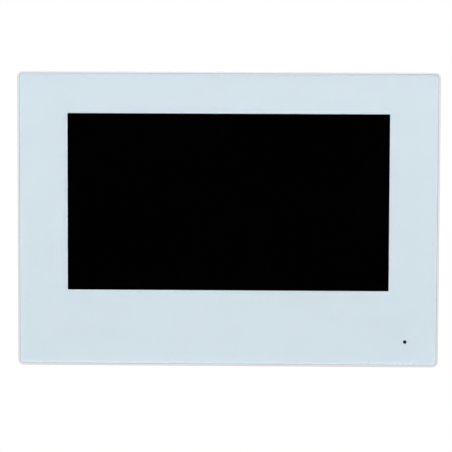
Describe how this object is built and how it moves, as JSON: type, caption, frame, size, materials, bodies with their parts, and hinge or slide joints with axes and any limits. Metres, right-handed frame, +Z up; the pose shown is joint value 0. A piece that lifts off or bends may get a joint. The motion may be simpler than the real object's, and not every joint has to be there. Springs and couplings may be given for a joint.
{
  "type": "video intercom monitor",
  "caption": "Slim wall-hung video intercom monitor: white glass front with a black touch screen, sloped rear cover and a steel wall plate with hooks.",
  "frame": {"origin": "on the wall plane, at the middle of the wall plate's central bar, midway between the two box-screw slots", "axes": "+X to the right as seen from the room, +Y into the wall, +Z up"},
  "size_m": [0.2, 0.0151, 0.14],
  "materials": {
    "cover_glass": "polished",
    "border_print": "satin",
    "frame_plastic": "satin",
    "cover_plastic": "fine texture",
    "touch_glass": "polished",
    "screen_cell": "satin",
    "clear_acrylic": "polished",
    "film": "matt",
    "tape": "matt",
    "foam": "open cell",
    "rubber": "matt",
    "lead_rubber": "satin",
    "sheet_steel": "galvanised",
    "plate_steel": "galvanised",
    "spring_steel": "rolled",
    "screw_steel": "nickel plated",
    "tin_plate": "tinned",
    "circuit_board": "solder mask",
    "black_plastic": "moulded",
    "green_plastic": "moulded",
    "ivory_plastic": "moulded",
    "amber_flex": "film",
    "paper_cone": "pressed pulp",
    "ferrite": "sintered"
  },
  "bodies": {
    "wall_plate": {"wall_plate": "plate_steel", "latch_spring": "spring_steel", "latch_rivet": "spring_steel"},
    "monitor": {"cover_glass": "cover_glass", "border_print": "border_print", "panel_tape": "tape", "front_frame": "frame_plastic", "rear_cover": "cover_plastic", "touch_sensor": "touch_glass", "touch_flex": "amber_flex", "touch_connector": "ivory_plastic", "lcd_foam": "foam", "lcd_cell": "screen_cell", "diffuser_film": "film", "light_guide": "clear_acrylic", "led_strip": "ivory_plastic", "lcd_tray": "sheet_steel", "lcd_flex": "amber_flex", "lcd_connector": "ivory_plastic", "chassis_plate": "sheet_steel", "chassis_screw_1": "screw_steel", "chassis_screw_2": "screw_steel", "chassis_screw_3": "screw_steel", "chassis_screw_4": "screw_steel", "main_board": "circuit_board", "board_screw_1": "screw_steel", "board_screw_2": "screw_steel", "board_screw_3": "screw_steel", "board_screw_4": "screw_steel", "shield_can": "tin_plate", "processor": "black_plastic", "memory_chip": "black_plastic", "wireless_module": "tin_plate", "power_inductor": "ferrite", "power_transformer": "ferrite", "network_jack": "tin_plate", "jack_insert": "black_plastic", "power_header": "green_plastic", "alarm_header": "ivory_plastic", "card_slot": "tin_plate", "service_port": "ivory_plastic", "speaker_basket": "black_plastic", "speaker_magnet": "ferrite", "speaker_surround": "rubber", "speaker_gasket": "foam", "speaker_lead": "lead_rubber", "speaker_screw_1": "screw_steel", "speaker_screw_2": "screw_steel", "microphone": "tin_plate", "mic_boot": "rubber", "mic_lead": "lead_rubber", "antenna": "amber_flex", "antenna_lead": "lead_rubber", "cover_screw_1": "screw_steel", "cover_screw_2": "screw_steel", "cover_screw_3": "screw_steel", "cover_screw_4": "screw_steel", "cover_screw_5": "screw_steel", "cover_screw_6": "screw_steel"},
    "speaker_cone": {"speaker_cone": "paper_cone"}
  },
  "joints": [
    {"name": "monitor_lift", "type": "slide", "parent": "wall_plate", "child": "monitor", "axis": [0, 0, 1], "range_m": [0, 0.007], "deforming": ["latch_spring"]},
    {"name": "speaker_cone_travel", "type": "slide", "parent": "monitor", "child": "speaker_cone", "axis": [0, 1, 0], "range_m": [-0.0004, 0.0004], "stiffness_N_per_m": 600, "deforming": ["speaker_surround"]}
  ]
}
